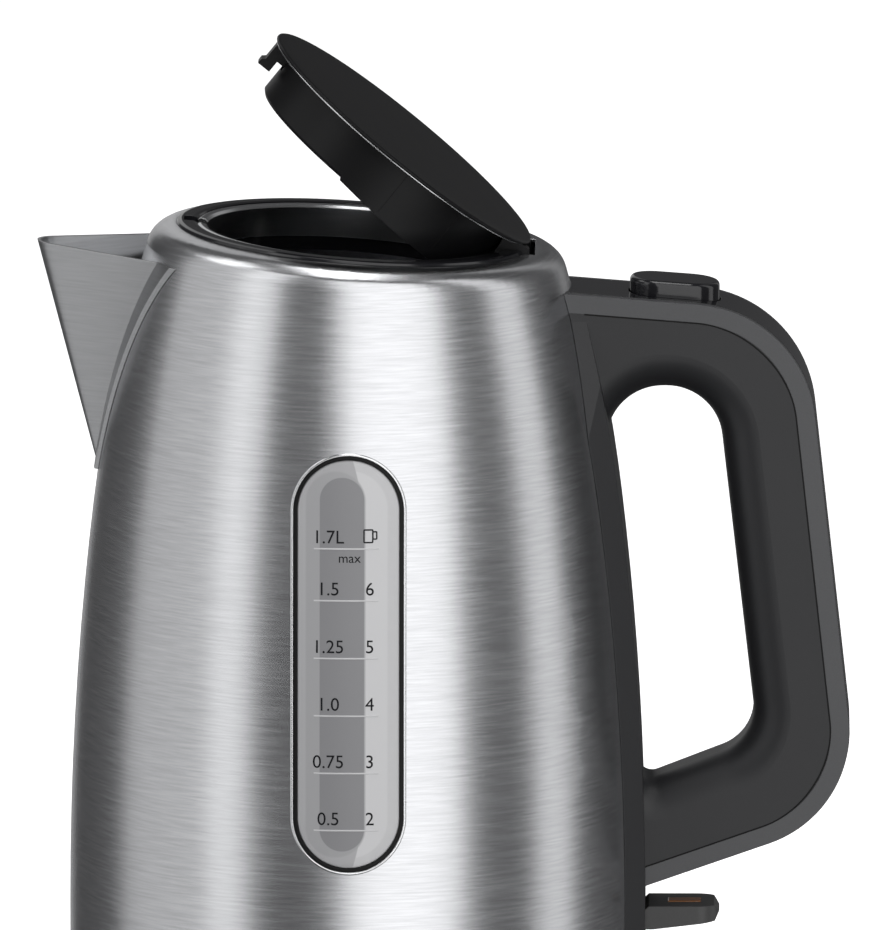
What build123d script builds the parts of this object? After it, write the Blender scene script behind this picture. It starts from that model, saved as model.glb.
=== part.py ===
"""Cordless electric kettle: a steel jug with a hinged lid and loop handle on its power base.

The origin is on the table, on the jug's upright axis. +Z is up, the spout points along -X,
the handle along +X and the water gauge faces -Y. All lengths are millimetres.
"""

import os
from math import asin, cos, radians, sin, sqrt, tan

from build123d import *

os.makedirs("parts", exist_ok=True)

# Jug wall: upright at the foot, then two arcs that lean inwards
JUG_R = 76.1
TAPER_Z = 40.0
LOWER_ARC_R = 900.0
WAIST_Z = 148.7
UPPER_ARC_R = 440.0
CROWN_Z = 233.0
STEEL_FOOT_Z = 30.0
WALL = 1.0

# Sloping rim at the top of the jug
RIM_Z = 221.1
RIM_TILT = 4.2
SHOULDER_R = 7.5
NECK_R = 46.5
RING_R = 47.3
MOUTH_R = 38.9

# Lid, drawn in its closed place and opened about the hinge
LID_R = 43.5
CAN_R = 37.5
LID_OPEN = 34.8
HINGE_U = 45.5
HINGE_W = -4.5
PIN_R = 1.5
PIN_PLAY = 0.07

# Spout: nose line, rounding and half angle of its V, in the rim's own directions
SPOUT_RIM_W = -7.8
SPOUT_NOSE_U = -84.05
SPOUT_NOSE_LEAN = 0.34
SPOUT_NOSE_R = 7.5
SPOUT_NOSE_TAPER = 0.0957
SPOUT_HALF_ANGLE = 30.0
SPOUT_POINT_W = -68.0
FLANGE_W = 4.0
FLANGE_T = 1.1

# Water gauge in the front wall
WINDOW_W = 30.8
WINDOW_H = 112.0
WINDOW_Z = 117.5
MARK_Z = [73.5, 88.8, 104.1, 119.4, 134.7, 148.4]

# Handle, seen from the side
HANDLE_W = 29.0
BAND_T = 5.0
PAD_T = 2.4
PAD_HALF = 24.5
STRIP_W = 24.0

# Power base
BASE_R = 80.0
BASE_TOP = 20.0
DECK_Z = 17.0
FOOT_Z = 2.5
PLATE_Z = 44.0

# Release button and switch lever
BUTTON_X = 86.1
BUTTON_L = 24.0
BUTTON_W = 17.4
BUTTON_RISE = 4.5
ROCKER_X = 70.0
ROCKER_Z = 191.5
LEVER_X = 67.0
LEVER_Z = 35.0
STEAM_Y = 16.0


def write(piece, name):
    """Label a finished piece and write it to a STEP file of its own."""
    piece.part.label = name
    export_step(piece.part, f"parts/{name}.step")


def jug_radius(z):
    """Outer radius of the jug wall at height z."""
    if z <= TAPER_Z:
        return JUG_R
    if z <= WAIST_Z:
        return JUG_R - LOWER_ARC_R + sqrt(LOWER_ARC_R**2 - (z - TAPER_Z) ** 2)
    lean = asin((WAIST_Z - TAPER_Z) / LOWER_ARC_R)
    waist_r = JUG_R - LOWER_ARC_R * (1 - cos(lean))
    centre_r = waist_r - UPPER_ARC_R * cos(lean)
    centre_z = WAIST_Z - UPPER_ARC_R * sin(lean)
    return centre_r + sqrt(UPPER_ARC_R**2 - (z - centre_z) ** 2)


def sloped_plane(origin, slope):
    """Plane that falls towards +X by slope degrees."""
    lean = radians(slope)
    return Plane(origin=origin, x_dir=(cos(lean), 0, -sin(lean)), z_dir=(sin(lean), 0, cos(lean)))


def upright_section(plane):
    """Plane through a sloping plane's normal: local x is its x, local y its normal."""
    return Plane(origin=plane.origin, x_dir=plane.x_dir, z_dir=-plane.y_dir)


def normal_axis(plane):
    """Axis through a plane's origin along its normal."""
    return Axis(plane.origin, plane.z_dir)


rim = sloped_plane((0, 0, RIM_Z), RIM_TILT)
rim_section = upright_section(rim)
rim_axis = normal_axis(rim)

hinge = rim.origin + rim.x_dir * HINGE_U + rim.z_dir * HINGE_W
open_way = sloped_plane((0, 0, 0), RIM_TILT + LID_OPEN)
lid_plane = sloped_plane(
    hinge - open_way.x_dir * HINGE_U - open_way.z_dir * HINGE_W, RIM_TILT + LID_OPEN
)
lid_section = upright_section(lid_plane)
lid_axis = normal_axis(lid_plane)


def jug_form(inset, foot_z, drop):
    """Solid that fills the jug, set in from its wall by inset and from its rim by drop."""
    with BuildPart() as form:
        with BuildSketch(Plane.XZ):
            with BuildLine():
                side = Line((JUG_R - inset, foot_z), (JUG_R - inset, TAPER_Z))
                waist = (jug_radius(WAIST_Z) - inset, WAIST_Z)
                lower = TangentArc(side @ 1, waist, tangent=side % 1)
                crown = (jug_radius(CROWN_Z) - inset, CROWN_Z)
                upper = TangentArc(lower @ 1, crown, tangent=lower % 1)
                Polyline(upper @ 1, (0, CROWN_Z), (0, foot_z), side @ 0)
            make_face()
        revolve(axis=Axis.Z)
        split(bisect_by=rim.offset(-drop), keep=Keep.BOTTOM)
        top = form.faces().sort_by(Axis.Z)[-1]
        fillet(top.edges(), SHOULDER_R - drop)
    return form.part


jug_outer = jug_form(0, STEEL_FOOT_Z, 0)
jug_inner = jug_form(WALL, STEEL_FOOT_Z - 1, WALL)
jug_skin = jug_form(-0.05, STEEL_FOOT_Z - 15, 0)


def spout_form(grow, top_w):
    """V-shaped solid of the spout, grown outwards by grow and cut off at height top_w."""
    half = radians(SPOUT_HALF_ANGLE)
    back_u = -34.0
    sharpest_w = SPOUT_RIM_W - (SPOUT_NOSE_R + grow - 0.5) / SPOUT_NOSE_TAPER
    with BuildPart() as form:
        for w in (top_w, max(SPOUT_POINT_W, sharpest_w)):
            nose_u = SPOUT_NOSE_U - SPOUT_NOSE_LEAN * (w - SPOUT_RIM_W) - grow
            nose_r = SPOUT_NOSE_R + SPOUT_NOSE_TAPER * (w - SPOUT_RIM_W) + grow
            side_u = nose_u + nose_r * (1 - sin(half))
            side_v = nose_r * cos(half)
            back_v = side_v + (back_u - side_u) * tan(half)
            with BuildSketch(rim.offset(w)):
                with BuildLine():
                    ThreePointArc((side_u, side_v), (nose_u, 0), (side_u, -side_v))
                    Polyline((side_u, -side_v), (back_u, -back_v), (back_u, back_v), (side_u, side_v))
                make_face()
        loft(ruled=True)
    return form.part


def pill_in_wall(width, height, outer_inset, inner_inset):
    """Pill-shaped piece of the front wall between two depths."""
    outer = jug_form(outer_inset, STEEL_FOOT_Z, 0)
    inner = jug_form(inner_inset, STEEL_FOOT_Z - 1, 0)
    with BuildPart() as piece:
        with BuildSketch(Plane.XZ.offset(50)):
            with Locations((0, WINDOW_Z)):
                SlotOverall(height, width, rotation=90)
        extrude(amount=40)
        add(outer, mode=Mode.INTERSECT)
        add(inner, mode=Mode.SUBTRACT)
    return piece.part


# ---------------------------------------------------------------- power base

SCREW_RING_R = 58.0
FOOT_RING_R = 66.0
FOOT_R = 8.0
GLAND_Z = 9.5
GLAND_R = 4.0
GLAND_HOLE_R = 3.0

with BuildPart() as base_housing:
    with BuildSketch(Plane.XZ):
        with BuildLine():
            Polyline(
                (78.6, 4.5), (BASE_R, 8.5), (79.4, 17.6), (78.6, BASE_TOP), (77.2, BASE_TOP),
                (76.8, DECK_Z), (15.5, DECK_Z), (15.5, 14.5), (74.0, 14.5), (76.4, 12.0),
                (76.1, 4.5), close=True,
            )
        make_face()
    revolve(axis=Axis.Z)
    fillet(base_housing.edges().group_by(Axis.Z)[-1], 0.6)
    with PolarLocations(SCREW_RING_R, 4, start_angle=45):
        with Locations((0, 0, 9.5)):
            Cylinder(4.0, 10.0)
            Cylinder(1.45, 10.0, mode=Mode.SUBTRACT)
    with BuildSketch(Plane.XZ.offset(-BASE_R - 2)):
        with Locations((0, GLAND_Z)):
            Circle(GLAND_R)
    extrude(amount=12, mode=Mode.SUBTRACT)
write(base_housing, "base_housing")

with BuildPart() as base_bottom_cover:
    with Locations((0, 0, FOOT_Z - 1.0)):
        Cylinder(78.2, 2.9, align=(Align.CENTER, Align.CENTER, Align.MIN))
    with PolarLocations(SCREW_RING_R, 4, start_angle=45):
        with Locations((0, 0, 3.0)):
            Cylinder(1.6, 4.0, mode=Mode.SUBTRACT)
        with Locations((0, 0, 1.9)):
            Cylinder(3.1, 1.6, mode=Mode.SUBTRACT)
    for ring_r, count in ((FOOT_RING_R, 4), (0, 1)):
        with PolarLocations(ring_r, count):
            with Locations((0, 0, 1.9)):
                Cylinder(FOOT_R + 0.1, 1.0, mode=Mode.SUBTRACT)
write(base_bottom_cover, "base_bottom_cover")

with BuildPart() as base_feet:
    for ring_r, count in ((FOOT_RING_R, 4), (0, 1)):
        with PolarLocations(ring_r, count):
            Cylinder(FOOT_R, 2.3, align=(Align.CENTER, Align.CENTER, Align.MIN))
    chamfer(base_feet.edges().group_by(Axis.Z)[0], 0.5)
write(base_feet, "base_feet")

with BuildPart() as base_screws:
    with PolarLocations(SCREW_RING_R, 4, start_angle=45):
        with Locations((0, 0, 1.4)):
            Cylinder(2.9, 1.3, align=(Align.CENTER, Align.CENTER, Align.MIN))
            Cylinder(1.4, 11.0, align=(Align.CENTER, Align.CENTER, Align.MIN))
            Box(4.2, 0.7, 1.0, mode=Mode.SUBTRACT)
write(base_screws, "base_screws")

with BuildPart() as base_connector:
    with BuildSketch(Plane.XZ):
        with BuildLine():
            Polyline(
                (0, 12.0), (19.0, 12.0), (19.0, 14.4), (15.3, 14.4), (15.3, DECK_Z), (12.5, DECK_Z),
                (12.5, 26.2), (11.7, 27.0), (9.0, 27.0), (9.0, 16.0), (6.6, 16.0), (6.6, 27.0),
                (3.2, 27.0), (3.2, 14.0), (0, 14.0), close=True,
            )
        make_face()
    revolve(axis=Axis.Z)
write(base_connector, "base_connector")

with BuildPart() as base_contacts:
    for inner_r in (6.62, 8.64):
        with BuildSketch(Plane.XY.offset(16.1)):
            Circle(inner_r + 0.33)
            Circle(inner_r, mode=Mode.SUBTRACT)
        extrude(amount=8.5)
write(base_contacts, "base_contacts")

with BuildPart() as cord_gland:
    with BuildSketch(Plane.XZ.offset(-73.0)):
        with Locations((0, GLAND_Z)):
            Circle(GLAND_R - 0.1)
            Circle(GLAND_HOLE_R, mode=Mode.SUBTRACT)
    extrude(amount=-8.4)
    for collar_y in (-72.4, -80.2):
        with BuildSketch(Plane.XZ.offset(collar_y)):
            with Locations((0, GLAND_Z)):
                Circle(GLAND_R + 0.9)
                Circle(GLAND_HOLE_R, mode=Mode.SUBTRACT)
        extrude(amount=-1.2)
write(cord_gland, "cord_gland")

# ---------------------------------------------------------------- cordless connector

with BuildPart() as jug_connector:
    with BuildSketch(Plane.XZ):
        with BuildLine():
            Polyline(
                (0, 28.5), (13.2, 28.5), (13.2, 19.5), (14.2, 18.9), (16.0, 18.9),
                (16.0, 31.0), (0, 31.0), close=True,
            )
        make_face()
    revolve(axis=Axis.Z)
write(jug_connector, "jug_connector")

with BuildPart() as connector_contacts:
    with BuildSketch(Plane.XY.offset(20.5)):
        Circle(8.2)
        Circle(7.4, mode=Mode.SUBTRACT)
        Circle(2.4)
    extrude(amount=8.0)
write(connector_contacts, "connector_contacts")

# ---------------------------------------------------------------- spout and jug wall

spout_outside = spout_form(0, SPOUT_RIM_W)
spout_inside = spout_form(-WALL, SPOUT_RIM_W + 3)
flange_outline = spout_form(FLANGE_W, SPOUT_RIM_W)
wall_cut = spout_form(-3.0, SPOUT_RIM_W - 4)
flange_layer = jug_form(-FLANGE_T, STEEL_FOOT_Z, 0)

with BuildPart() as spout:
    add(flange_outline)
    add(flange_layer, mode=Mode.INTERSECT)
    add(spout_outside)
    add(spout_inside, mode=Mode.SUBTRACT)
    add(jug_skin, mode=Mode.SUBTRACT)
write(spout, "spout")

LEVER_SLOT_W = 20.0
SCREW_TOP = (196.0, 10.5)
SCREW_LOW = (33.0, 17.0)
gauge_hole = pill_in_wall(WINDOW_W - 3.2, WINDOW_H - 3.2, -3, 5)

with BuildPart() as body_shell:
    add(jug_outer)
    add(jug_inner, mode=Mode.SUBTRACT)
    with BuildSketch(rim.offset(-4)):
        Circle(NECK_R)
    extrude(amount=10, mode=Mode.SUBTRACT)
    add(gauge_hole, mode=Mode.SUBTRACT)
    add(wall_cut, mode=Mode.SUBTRACT)
    with BuildSketch(rim.offset(-7)):
        with Locations((HINGE_U - 1, 0)):
            Rectangle(8.8, 24.6)
    extrude(amount=12, mode=Mode.SUBTRACT)
    with Locations((JUG_R, 0, 35.3)):
        Box(14, LEVER_SLOT_W, 13.5, mode=Mode.SUBTRACT)
    with Locations((57, 0, 198)):
        Box(12, 9, 17, mode=Mode.SUBTRACT)
    for z, y in (SCREW_TOP, SCREW_LOW):
        with BuildSketch(Plane.YZ.offset(45)):
            with Locations((-y, z), (y, z)):
                Circle(1.7)
        extrude(amount=40, mode=Mode.SUBTRACT)
write(body_shell, "body_shell")

# ---------------------------------------------------------------- jug foot and heater

BOSS_R = 60.0
STEAM_TUBE_R = 3.5
steam_top = Vector(50.0, STEAM_Y, 204.0)
steam_foot = Vector(64.5, STEAM_Y, 30.0)
steam_plane = Plane(origin=steam_foot, z_dir=steam_top - steam_foot)

with BuildPart() as jug_bottom_housing:
    with BuildSketch(Plane.XZ):
        with BuildLine():
            Polyline(
                (70.0, 17.3), (75.2, 17.3), (JUG_R, 18.3), (JUG_R, 29.8), (74.95, 29.8), (74.95, 36.0),
                (73.0, 36.0), (73.0, 22.5), (16.4, 22.5), (16.4, 20.0), (70.0, 20.0), close=True,
            )
        make_face()
    revolve(axis=Axis.Z)
    with Locations((JUG_R, 0, 35)):
        Box(14, LEVER_SLOT_W, 13.0, mode=Mode.SUBTRACT)
    with PolarLocations(BOSS_R, 3, start_angle=60):
        with Locations((0, 0, 22.0)):
            Cylinder(4.0, 20.8, align=(Align.CENTER, Align.CENTER, Align.MIN))
        with Locations((0, 0, 19.0)):
            Cylinder(1.45, 20.0, align=(Align.CENTER, Align.CENTER, Align.MIN), mode=Mode.SUBTRACT)
    with BuildSketch(Plane.YZ.offset(60)):
        with Locations((-SCREW_LOW[1], SCREW_LOW[0]), (SCREW_LOW[1], SCREW_LOW[0])):
            Circle(3.4)
    extrude(amount=20, mode=Mode.SUBTRACT)
write(jug_bottom_housing, "jug_bottom_housing")

with BuildPart() as bottom_screws:
    with PolarLocations(BOSS_R, 3, start_angle=60):
        with Locations((0, 0, 18.2)):
            Cylinder(2.9, 1.8, align=(Align.CENTER, Align.CENTER, Align.MIN))
            Cylinder(1.4, 18.0, align=(Align.CENTER, Align.CENTER, Align.MIN))
            Box(4.2, 0.7, 1.4, mode=Mode.SUBTRACT)
write(bottom_screws, "bottom_screws")

with BuildPart() as heating_plate:
    with Locations((0, 0, PLATE_Z - 1.0)):
        Cylinder(JUG_R - WALL - 0.1, 1.0, align=(Align.CENTER, Align.CENTER, Align.MIN))
    with BuildSketch(steam_plane):
        Circle(STEAM_TUBE_R + 0.1)
    extrude(amount=30, mode=Mode.SUBTRACT)
write(heating_plate, "heating_plate")

with BuildPart() as plate_seal:
    with BuildSketch(Plane.XY.offset(PLATE_Z - 3.2)):
        Circle(JUG_R - WALL - 0.15)
        Circle(JUG_R - WALL - 3.4, mode=Mode.SUBTRACT)
    extrude(amount=2.15)
write(plate_seal, "plate_seal")

with BuildPart() as heat_spreader:
    with Locations((0, 0, PLATE_Z - 4.0)):
        Cylinder(52.0, 2.95, align=(Align.CENTER, Align.CENTER, Align.MIN))
write(heat_spreader, "heat_spreader")

with BuildPart() as heating_element:
    with BuildSketch(Plane.XZ):
        with Locations((44.0, PLATE_Z - 7.45)):
            Circle(3.4)
    revolve(axis=Axis.Z, revolution_arc=312)
    for angle in (0, -48):
        spin = Plane.XY.rotated((0, 0, angle))
        with BuildSketch(Plane(origin=spin.from_local_coords((44.0, 0, 24.0)))):
            Circle(2.2)
        extrude(amount=10.0)
write(heating_element, "heating_element")

with BuildPart() as control_unit:
    with Locations((0, 0, 31.4)):
        Cylinder(24.0, 7.2, align=(Align.CENTER, Align.CENTER, Align.MIN))
        Box(58.0, 16.0, 4.0, align=(Align.CENTER, Align.CENTER, Align.MIN))
    chamfer(control_unit.faces().sort_by(Axis.Z)[-1].edges(), 0.8)
write(control_unit, "control_unit")

with BuildPart() as bimetal_discs:
    with Locations((-12.5, 0, 38.7), (12.5, 0, 38.7)):
        Cylinder(9.5, 0.7, align=(Align.CENTER, Align.CENTER, Align.MIN))
write(bimetal_discs, "bimetal_discs")

with BuildPart() as steam_tube:
    with BuildSketch(steam_plane):
        Circle(STEAM_TUBE_R)
        Circle(STEAM_TUBE_R - 1.0, mode=Mode.SUBTRACT)
    extrude(amount=(steam_top - steam_foot).length)
write(steam_tube, "steam_tube")

with BuildPart() as steam_switch:
    with Locations((55.2, 0, 22.6)):
        Box(7.6, 23.0, 16.2, align=(Align.CENTER, Align.CENTER, Align.MIN))
    fillet(steam_switch.edges().filter_by(Axis.Z), 1.5)
    with Locations((55.2, STEAM_Y - 1.5, 24.0)):
        Cylinder(3.2, 4.6, align=(Align.CENTER, Align.CENTER, Align.MIN))
write(steam_switch, "steam_switch")

with BuildPart() as switch_bracket:
    for side in (-1, 1):
        with BuildSketch(Plane.XZ.offset(-side * 10.9)):
            with Locations((LEVER_X, (22.6 + LEVER_Z) / 2)):
                Rectangle(7.0, LEVER_Z - 22.6)
            with Locations((LEVER_X, LEVER_Z)):
                Circle(3.5)
                Circle(PIN_R + 0.02, mode=Mode.SUBTRACT)
        extrude(amount=1.1, both=True)
write(switch_bracket, "switch_bracket")

with BuildPart() as lever_pin:
    with BuildSketch(Plane.XZ):
        with Locations((LEVER_X, LEVER_Z)):
            Circle(PIN_R)
    extrude(amount=12.4, both=True)
write(lever_pin, "lever_pin")

# ---------------------------------------------------------------- switch lever

with BuildPart() as switch_lever:
    with BuildSketch(Plane.XZ):
        with BuildLine():
            Polyline(
                (61.5, 33.2), (61.5, 36.8), (76.6, 36.8), (79.4, 39.5), (97.0, 39.5),
                (98.4, 37.6), (97.2, 35.2), (80.5, 33.2), close=True,
            )
        make_face()
    extrude(amount=9.0, both=True)
    with BuildSketch(Plane.XZ):
        with Locations((LEVER_X, LEVER_Z)):
            Circle(PIN_R + PIN_PLAY)
    extrude(amount=12, both=True, mode=Mode.SUBTRACT)
    with BuildSketch(Plane.XY.offset(30)):
        with Locations((70.0, 0)):
            RectangleRounded(57.0, 18.0, 6.0)
    extrude(amount=15, mode=Mode.INTERSECT)
    with Locations((89.0, 0, 39.5)):
        Box(9.0, 5.0, 1.6, mode=Mode.SUBTRACT)
write(switch_lever, "switch_lever")

with BuildPart() as switch_lamp:
    with Locations((89.0, 0, 39.25)):
        Box(8.9, 4.9, 1.0)
    fillet(switch_lamp.faces().sort_by(Axis.Z)[-1].edges(), 0.3)
write(switch_lamp, "switch_lamp")

# ---------------------------------------------------------------- water gauge

gauge_lens = pill_in_wall(24.8, 106.0, -0.1, 2.4)
gauge_flange = pill_in_wall(WINDOW_W, WINDOW_H, 1.25, 2.4)
gauge_recess = pill_in_wall(16.4, 98.6, -1, 0.8)
gauge_sleeve = pill_in_wall(WINDOW_W - 3.4, WINDOW_H - 3.4, -0.35, 1.2)
gauge_sleeve_hole = pill_in_wall(25.0, 106.2, -1, 3)
gauge_bezel = pill_in_wall(WINDOW_W, WINDOW_H, -0.7, -0.03)
gauge_bezel_hole = pill_in_wall(WINDOW_W - 3.3, WINDOW_H - 3.3, -2, 1)
mark_layer = pill_in_wall(16.2, 98.4, 0.45, 0.8)

with BuildPart() as water_window:
    add(gauge_lens)
    add(gauge_flange)
    add(gauge_recess, mode=Mode.SUBTRACT)
write(water_window, "water_window")

with BuildPart() as window_gasket:
    add(gauge_sleeve)
    add(gauge_sleeve_hole, mode=Mode.SUBTRACT)
write(window_gasket, "window_gasket")

with BuildPart() as window_frame:
    add(gauge_bezel)
    add(gauge_bezel_hole, mode=Mode.SUBTRACT)
write(window_frame, "window_frame")

with BuildPart() as level_marks:
    with BuildSketch(Plane.XZ.offset(50)):
        for z in MARK_Z:
            with Locations((0, z)):
                Rectangle(16.0, 0.6)
    extrude(amount=40)
    add(mark_layer, mode=Mode.INTERSECT)
write(level_marks, "level_marks")

# ---------------------------------------------------------------- neck and hinge ears

EAR_R = 2.8
EAR_IN = 12.4
EAR_OUT = 15.3
LATCH_SLOT_W = 7.2

with BuildPart() as rim_collar:
    with BuildSketch(rim_section):
        with BuildLine():
            Polyline(
                (RING_R, 0.05), (46.9, 0.7), (46.0, 0.95), (43.0, 0.95), (42.1, 0.7), (41.8, 0.2),
                (41.8, -1.5), (40.4, -1.5), (40.4, -12.0), (45.6, -12.0), (45.6, 0.05), close=True,
            )
        make_face()
    revolve(axis=rim_axis)
    with BuildSketch(rim.offset(-9.2)):
        with Locations((HINGE_U, 0)):
            Rectangle(16, 2 * EAR_IN)
        with Locations((-41.0, 0)):
            Rectangle(8.6, LATCH_SLOT_W)
    extrude(amount=14, mode=Mode.SUBTRACT)
    for side in (-1, 1):
        middle = side * (EAR_IN + EAR_OUT) / 2
        with BuildSketch(rim_section.offset(-middle)):
            with Locations((HINGE_U, HINGE_W)):
                Circle(EAR_R)
            with Locations((HINGE_U - 2.6, HINGE_W)):
                Rectangle(5.2, 2 * EAR_R)
            with Locations((HINGE_U, HINGE_W)):
                Circle(PIN_R + 0.02, mode=Mode.SUBTRACT)
        extrude(amount=(EAR_OUT - EAR_IN) / 2, both=True)
    with BuildSketch(rim_section):
        with Locations((HINGE_U, HINGE_W)):
            Circle(PIN_R + 0.02)
    extrude(amount=20, both=True, mode=Mode.SUBTRACT)
write(rim_collar, "rim_collar")

with BuildPart() as neck_trim_ring:
    with BuildSketch(rim_section):
        with BuildLine():
            Polyline(
                (41.7, -1.4), (41.7, 0.2), (41.0, 0.6), (39.8, 0.35), (39.0, -0.3), (MOUTH_R, -8.0),
                (40.3, -8.0), (40.3, -1.4), close=True,
            )
        make_face()
    revolve(axis=rim_axis)
    with BuildSketch(rim.offset(-9.2)):
        with Locations((HINGE_U, 0)):
            Rectangle(20, 2 * EAR_IN)
        with Locations((-41.0, 0)):
            Rectangle(8.6, LATCH_SLOT_W)
    extrude(amount=14, mode=Mode.SUBTRACT)
write(neck_trim_ring, "neck_trim_ring")

with BuildPart() as lid_hinge_pin:
    with BuildSketch(rim_section):
        with Locations((HINGE_U, HINGE_W)):
            Circle(PIN_R)
    extrude(amount=EAR_OUT, both=True)
write(lid_hinge_pin, "lid_hinge_pin")

# ---------------------------------------------------------------- lid

KNUCKLE_IN = 8.0
KNUCKLE_OUT = 12.0
PLATE_UNDER_W = 1.3
LID_DOME_W = 3.2
CAN_FLOOR_W = -11.9
WEDGE_W = -16.4
BAR_END_U = 30.0

with BuildPart() as lid_plate:
    with BuildSketch(lid_section):
        with BuildLine():
            Line((0, PLATE_UNDER_W), (LID_R - 0.6, PLATE_UNDER_W))
            ThreePointArc((LID_R - 0.6, PLATE_UNDER_W), (LID_R, 1.8), (LID_R - 0.5, 2.3))
            TangentArc((0, LID_DOME_W), (LID_R - 0.5, 2.3), tangent=(1, 0))
            Line((0, LID_DOME_W), (0, PLATE_UNDER_W))
        make_face()
    revolve(axis=lid_axis)
write(lid_plate, "lid_plate")

with BuildPart() as lid_cap:
    with BuildSketch(lid_section):
        with BuildLine():
            Polyline(
                (CAN_R, 1.25), (CAN_R, CAN_FLOOR_W + 0.9), (36.6, CAN_FLOOR_W), (0, CAN_FLOOR_W), (0, -10.0),
                (35.6, -10.0), (35.6, 1.25), close=True,
            )
        make_face()
    revolve(axis=lid_axis)
    with BuildSketch(lid_section):
        with BuildLine():
            Polyline((-10.5, -10.9), (-9.6, -12.5), (CAN_R, WEDGE_W), (CAN_R, -10.9), close=True)
        make_face()
    extrude(amount=CAN_R, both=True)
    with BuildSketch(lid_plane.offset(-20)):
        Circle(CAN_R)
    extrude(amount=21.25, mode=Mode.INTERSECT)
    for side in (-1, 1):
        middle = side * (KNUCKLE_IN + KNUCKLE_OUT) / 2
        with BuildSketch(lid_section.offset(-middle)):
            with BuildLine():
                Polyline(
                    (36.0, 1.25), (43.6, 1.25), (47.9, -3.1), (45.5, -7.3), (41.0, -6.0),
                    (36.6, -6.0), (36.6, -3.0), close=True,
                )
            make_face()
            with Locations((HINGE_U, HINGE_W)):
                Circle(EAR_R)
        extrude(amount=(KNUCKLE_OUT - KNUCKLE_IN) / 2, both=True)
    with BuildSketch(lid_section):
        with Locations((HINGE_U, HINGE_W)):
            Circle(PIN_R + PIN_PLAY)
    extrude(amount=20, both=True, mode=Mode.SUBTRACT)
    with BuildSketch(lid_plane.offset(-4.2)):
        with Locations((-36.5, 0)):
            Rectangle(5.0, 7.2)
    extrude(amount=8, mode=Mode.SUBTRACT)
write(lid_cap, "lid_cap")

with BuildPart() as lid_seal:
    with BuildSketch(lid_plane.offset(0.7)):
        Circle(39.4)
        Circle(CAN_R + 0.05, mode=Mode.SUBTRACT)
        with Locations((-39.0, 0)):
            Rectangle(8.0, 10.6, mode=Mode.SUBTRACT)
        with Locations((39.0, 0)):
            Rectangle(8.0, 2 * KNUCKLE_OUT + 1, mode=Mode.SUBTRACT)
    extrude(amount=0.55)
write(lid_seal, "lid_seal")

with BuildPart() as lid_springs:
    for side in (-1, 1):
        coil_start = hinge + rim.y_dir * (side * 4.2 - 2.4)
        with BuildLine():
            coil = Helix(pitch=0.8, height=4.8, radius=2.3, center=coil_start, direction=(0, 1, 0))
        with BuildSketch(Plane(origin=coil @ 0, z_dir=coil % 0)):
            Circle(0.32)
        sweep(path=coil)
write(lid_springs, "lid_springs")

with BuildPart() as latch_bar:
    with BuildSketch(lid_section):
        with BuildLine():
            Polyline(
                (-42.5, 0.95), (-34.0, 0.95), (-30.0, 0.4), (BAR_END_U, 0.4), (BAR_END_U, -3.0),
                (-39.6, -3.0), (-39.6, -6.4), (-43.4, -6.4), (-43.4, -5.0), (-42.5, -4.2), close=True,
            )
        make_face()
    extrude(amount=3.0, both=True)
write(latch_bar, "latch_bar")

# ---------------------------------------------------------------- spout filter

filter_plane = Plane(origin=(-57.4, 0, 187.5), x_dir=(0, 1, 0), z_dir=(0.983, 0, -0.183))
FILTER_OUTLINE = [(-14.5, 18.5), (14.5, 18.5), (3.4, -19.5), (-3.4, -19.5)]

with BuildPart() as filter_frame:
    with BuildSketch(filter_plane):
        Polygon(*FILTER_OUTLINE, align=None)
        offset(amount=-2.2, mode=Mode.SUBTRACT)
        with Locations((0, 6.0)):
            Rectangle(22.0, 1.4)
        Rectangle(1.4, 38.0)
    extrude(amount=1.4)
    with BuildSketch(filter_plane.offset(1.4)):
        with Locations((0, 17.2)):
            Rectangle(12.0, 2.4)
    extrude(amount=3.0)
write(filter_frame, "filter_frame")

WIRE_STEP = 2.0

with BuildPart() as filter_mesh:
    with BuildSketch(filter_plane.offset(-0.35)):
        with GridLocations(WIRE_STEP, 1, 13, 1):
            Rectangle(0.5, 40.0)
        with GridLocations(1, WIRE_STEP, 1, 19):
            Rectangle(32.0, 0.5)
        Polygon(*FILTER_OUTLINE, align=None, mode=Mode.INTERSECT)
    extrude(amount=0.3)
write(filter_mesh, "filter_mesh")

# ---------------------------------------------------------------- handle

TOP_SLOPE = 0.0776
OUTER_CORNERS = [(38.0, 208.7), (120.5, 202.3), (135.7, 66.4), (78.0, 46.0), (38.0, 31.9)]
OUTER_ROUNDING = [34.0, 32.0, 3.0]
HOLE_CORNERS = [(66.5, 181.0), (97.3, 181.0), (108.5, 85.0), (77.2, 72.8)]
HOLE_TOP_R = 15.0
HOLE_LOW_R = 13.0
HOLE_HEEL_R = 3.5
PAD_TOP_Z = 202.0
PAD_TOP_HALF = 14.0
PAD_SHOULDER_Z = 150.0
HANDLE_FOOT_Z = 26.5
GRIP_ROUND = 10.0
SEAM = 0.01


def handle_outline(shrink):
    """Side outline of the handle's loop, set in by shrink."""
    with BuildSketch(Plane.XZ) as outline:
        with BuildLine():
            FilletPolyline(*OUTER_CORNERS, radius=OUTER_ROUNDING, close=False)
            Line(OUTER_CORNERS[-1], OUTER_CORNERS[0])
        make_face()
        if shrink:
            offset(amount=-shrink)
    return outline.sketch


def handle_hole(grow):
    """Side outline of the finger opening, grown by grow."""
    with BuildSketch(Plane.XZ) as outline:
        Polygon(*HOLE_CORNERS, align=None)
        fillet(outline.vertices().sort_by(Axis.Y)[-2:], HOLE_TOP_R)
        fillet(outline.vertices().sort_by(Axis.Y)[1], HOLE_LOW_R)
        fillet(outline.vertices().sort_by(Axis.Y)[0], HOLE_HEEL_R)
        if grow:
            offset(amount=grow)
    return outline.sketch


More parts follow.
